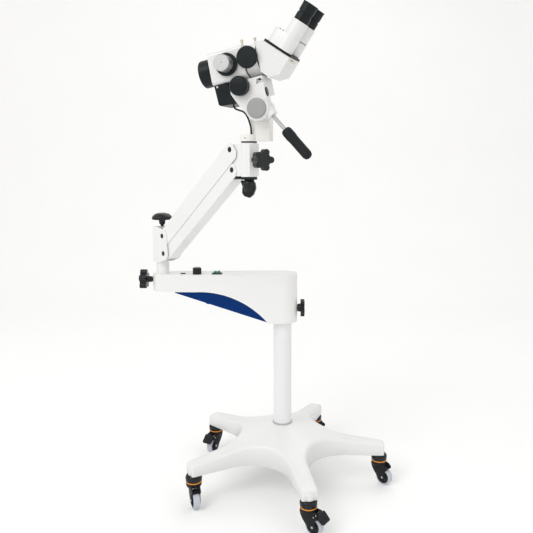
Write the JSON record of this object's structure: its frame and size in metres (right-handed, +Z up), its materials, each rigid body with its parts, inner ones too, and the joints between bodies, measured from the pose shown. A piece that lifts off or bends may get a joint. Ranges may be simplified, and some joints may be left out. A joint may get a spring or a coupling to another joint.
{
  "type": "colposcope",
  "caption": "Mobile colposcope: binocular microscope on a balanced arm, with a swing housing, column and castor base",
  "frame": {"origin": "on the floor under the axis of the column", "axes": "+Z up, +X from the post towards the column as pictured, +Y away from the pictured side"},
  "size_m": [0.7686, 0.6911, 1.3697],
  "materials": {
    "white_paint": "satin",
    "cast_base": "satin",
    "column_tube": "satin",
    "grey_ring": "satin",
    "black_plastic": "satin",
    "orange_plastic": "gloss",
    "castor_frame": "matte",
    "wheel": "matte",
    "blue_plastic": "gloss",
    "rocker_green": "gloss",
    "steel_pins": "satin",
    "spring_steel": "satin",
    "ivory_paint": "satin",
    "aluminium_parts": "satin",
    "black_metal": "satin",
    "scope_paint": "satin",
    "rubber_grip": "matte",
    "lens_glass": "gloss",
    "brass_screws": "polished",
    "cable_rubber": "matte"
  },
  "bodies": {
    "stand": {"base_casting": "cast_base", "column": "column_tube", "column_collar": "grey_ring", "castor_caps": "black_plastic", "castor_rings": "orange_plastic"},
    "castor_1": {"castor_fork_1": "castor_frame"},
    "wheel_1": {"castor_wheel_1": "wheel"},
    "castor_2": {"castor_fork_2": "castor_frame"},
    "wheel_2": {"castor_wheel_2": "wheel"},
    "castor_3": {"castor_fork_3": "castor_frame"},
    "wheel_3": {"castor_wheel_3": "wheel"},
    "castor_4": {"castor_fork_4": "castor_frame"},
    "wheel_4": {"castor_wheel_4": "wheel"},
    "castor_5": {"castor_fork_5": "castor_frame"},
    "wheel_5": {"castor_wheel_5": "wheel"},
    "pedal_2": {"brake_pedal_2": "castor_frame"},
    "pedal_5": {"brake_pedal_5": "castor_frame"},
    "housing": {"swing_housing": "white_paint", "housing_trim": "blue_plastic", "switch_bezel": "black_plastic", "power_inlet": "black_plastic"},
    "column_clamp_knob": {"column_clamp_knob": "black_plastic"},
    "post_clamp_knob": {"post_clamp_knob": "black_plastic"},
    "brightness_knob": {"brightness_knob": "black_plastic"},
    "switch_rocker": {"switch_rocker": "rocker_green"},
    "post": {"post_fork": "white_paint", "post_pins": "steel_pins"},
    "tension_knob": {"tension_knob": "black_plastic"},
    "upper_link": {"upper_link": "white_paint"},
    "lower_link": {"lower_link": "white_paint", "balance_spring": "spring_steel"},
    "arm_head": {"head_bracket": "white_paint", "head_pins": "steel_pins", "stop_bar": "black_metal", "swivel_washer": "black_metal"},
    "head_clamp_knob": {"head_clamp_knob": "black_plastic"},
    "yoke": {"yoke": "ivory_paint", "spindle_disc": "black_metal"},
    "wing_knob": {"wing_knob": "black_plastic"},
    "carrier": {"focus_carrier": "scope_paint", "tilt_cap": "aluminium_parts", "handle_rod": "aluminium_parts", "handle_grip": "rubber_grip", "lamp_housing": "black_metal", "lamp_cable": "cable_rubber"},
    "focus_knob": {"focus_knob": "black_metal"},
    "microscope": {"microscope_body": "scope_paint", "objective_ring": "black_metal", "objective_lens": "lens_glass", "mag_scale_ring": "black_metal", "beam_splitter": "scope_paint", "port_cap": "black_metal", "lock_screws": "brass_screws", "binocular_base": "scope_paint", "binocular_plate": "black_metal"},
    "mag_knob": {"mag_knob": "aluminium_parts"},
    "prism_left": {"prism_left": "scope_paint"},
    "eyepiece_left": {"eyepiece_left": "black_metal"},
    "prism_right": {"prism_right": "scope_paint"},
    "eyepiece_right": {"eyepiece_right": "black_metal"}
  },
  "joints": [
    {"name": "castor_1_swivel", "type": "hinge", "parent": "stand", "child": "castor_1", "pos_m": [-0.25579, -0.15675, 0.073], "axis": [0, 0, 1], "continuous": true},
    {"name": "wheel_1_spin", "type": "hinge", "parent": "castor_1", "child": "wheel_1", "pos_m": [-0.24929, -0.1746, 0.025], "axis": [0.9397, 0.342, 0], "continuous": true},
    {"name": "castor_2_swivel", "type": "hinge", "parent": "stand", "child": "castor_2", "pos_m": [0.07003, -0.29171, 0.073], "axis": [0, 0, 1], "continuous": true},
    {"name": "wheel_2_spin", "type": "hinge", "parent": "castor_2", "child": "wheel_2", "pos_m": [0.0856, -0.30261, 0.025], "axis": [0.5736, 0.8192, 0], "continuous": true},
    {"name": "pedal_2_press", "type": "hinge", "parent": "castor_2", "child": "pedal_2", "pos_m": [0.09543, -0.30949, 0.062], "axis": [0.5736, 0.8192, 0], "range_deg": [0, 10]},
    {"name": "castor_3_swivel", "type": "hinge", "parent": "stand", "child": "castor_3", "pos_m": [0.29907, -0.02354, 0.073], "axis": [0, 0, 1], "continuous": true},
    {"name": "wheel_3_spin", "type": "hinge", "parent": "castor_3", "child": "wheel_3", "pos_m": [0.31363, -0.03575, 0.025], "axis": [0.6428, 0.766, 0], "continuous": true},
    {"name": "castor_4_swivel", "type": "hinge", "parent": "stand", "child": "castor_4", "pos_m": [0.11481, 0.27716, 0.073], "axis": [0, 0, 1], "continuous": true},
    {"name": "wheel_4_spin", "type": "hinge", "parent": "castor_4", "child": "wheel_4", "pos_m": [0.13266, 0.28366, 0.025], "axis": [-0.342, 0.9397, 0], "continuous": true},
    {"name": "castor_5_swivel", "type": "hinge", "parent": "stand", "child": "castor_5", "pos_m": [-0.22812, 0.19483, 0.073], "axis": [0, 0, 1], "continuous": true},
    {"name": "wheel_5_spin", "type": "hinge", "parent": "castor_5", "child": "wheel_5", "pos_m": [-0.23762, 0.17838, 0.025], "axis": [0.866, -0.5, 0], "continuous": true},
    {"name": "pedal_5_press", "type": "hinge", "parent": "castor_5", "child": "pedal_5", "pos_m": [-0.24362, 0.16799, 0.062], "axis": [0.866, -0.5, 0], "range_deg": [0, 10]},
    {"name": "housing_swing", "type": "hinge", "parent": "stand", "child": "housing", "pos_m": [0, 0, 0.58], "axis": [0, 0, 1], "range_deg": [-170, 170]},
    {"name": "column_clamp_turn", "type": "hinge", "parent": "housing", "child": "column_clamp_knob", "pos_m": [0.0455, 0, 0.5455], "axis": [1, 0, 0], "range_deg": [-180, 180]},
    {"name": "post_clamp_turn", "type": "hinge", "parent": "housing", "child": "post_clamp_knob", "pos_m": [-0.4, 0, 0.634], "axis": [-1, 0, 0], "range_deg": [-180, 180]},
    {"name": "brightness_turn", "type": "hinge", "parent": "housing", "child": "brightness_knob", "pos_m": [-0.257, -0.02, 0.66], "axis": [0, 0, -1], "range_deg": [0, 270]},
    {"name": "switch_press", "type": "hinge", "parent": "housing", "child": "switch_rocker", "pos_m": [-0.197, -0.016, 0.654], "axis": [0, 1, 0], "range_deg": [0, 10]},
    {"name": "post_swivel", "type": "hinge", "parent": "housing", "child": "post", "pos_m": [-0.363, 0, 0.64], "axis": [0, 0, 1], "range_deg": [-150, 150]},
    {"name": "tension_turn", "type": "hinge", "parent": "post", "child": "tension_knob", "pos_m": [-0.363, 0, 0.8], "axis": [0, 0, 1], "range_deg": [-180, 180]},
    {"name": "arm_lift", "type": "hinge", "parent": "post", "child": "lower_link", "pos_m": [-0.33521, -0.02877, 0.719], "axis": [-0.7193, -0.6947, 0], "range_deg": [-45, 15]},
    {"name": "upper_link_pivot", "type": "hinge", "parent": "post", "child": "upper_link", "pos_m": [-0.33869, -0.02518, 0.771], "axis": [-0.7193, -0.6947, 0], "range_deg": [-45, 15]},
    {"name": "head_level", "type": "hinge", "parent": "lower_link", "child": "arm_head", "pos_m": [-0.11751, -0.25421, 0.96918], "axis": [-0.7193, -0.6947, 0], "range_deg": [-15, 45]},
    {"name": "head_clamp_turn", "type": "hinge", "parent": "arm_head", "child": "head_clamp_knob", "pos_m": [-0.05327, -0.34017, 0.99468], "axis": [0.515, -0.8572, 0], "range_deg": [-180, 180]},
    {"name": "head_swivel", "type": "hinge", "parent": "arm_head", "child": "yoke", "pos_m": [-0.08417, -0.28874, 1.03718], "axis": [0, 0, 1], "range_deg": [-120, 120]},
    {"name": "wing_knob_turn", "type": "hinge", "parent": "yoke", "child": "wing_knob", "pos_m": [-0.08417, -0.28874, 0.93218], "axis": [0, 0, 1], "range_deg": [-90, 90]},
    {"name": "microscope_tilt", "type": "hinge", "parent": "yoke", "child": "carrier", "pos_m": [-0.04813, -0.30079, 1.11998], "axis": [-0.3173, -0.9483, 0], "range_deg": [-20, 40], "deforming": ["lamp_cable"]},
    {"name": "focus_slide", "type": "slide", "parent": "carrier", "child": "microscope", "axis": [-0.9293, 0.3109, -0.1994], "range_m": [-0.008, 0.008]},
    {"name": "focus_knob_turn", "type": "hinge", "parent": "carrier", "child": "focus_knob", "pos_m": [-0.10434, -0.33471, 1.17357], "axis": [-0.3173, -0.9483, 0], "range_deg": [-60, 60]},
    {"name": "magnification_turn", "type": "hinge", "parent": "microscope", "child": "mag_knob", "pos_m": [-0.14163, -0.33278, 1.22748], "axis": [-0.3173, -0.9483, 0], "range_deg": [-144, 144]},
    {"name": "prism_left_swing", "type": "hinge", "parent": "microscope", "child": "prism_left", "pos_m": [0.00288, -0.29256, 1.28156], "axis": [0.5234, -0.1751, 0.8339], "range_deg": [-10, 10]},
    {"name": "prism_right_swing", "type": "hinge", "parent": "microscope", "child": "prism_right", "pos_m": [-0.01235, -0.33808, 1.28156], "axis": [0.5234, -0.1751, 0.8339], "range_deg": [-10, 10]},
    {"name": "eyepiece_left_turn", "type": "hinge", "parent": "prism_left", "child": "eyepiece_left", "pos_m": [0.06234, -0.30718, 1.32031], "axis": [0.5234, -0.1751, 0.8339], "range_deg": [-90, 90]},
    {"name": "eyepiece_right_turn", "type": "hinge", "parent": "prism_right", "child": "eyepiece_right", "pos_m": [0.04394, -0.36218, 1.32031], "axis": [0.5234, -0.1751, 0.8339], "range_deg": [-90, 90]}
  ],
  "couplings": [
    {"joint": "upper_link_pivot", "follows": "arm_lift", "ratio": 1},
    {"joint": "head_level", "follows": "arm_lift", "ratio": -1},
    {"joint": "focus_knob_turn", "follows": "focus_slide", "rad_per_m": 125},
    {"joint": "prism_right_swing", "follows": "prism_left_swing", "ratio": -1}
  ]
}
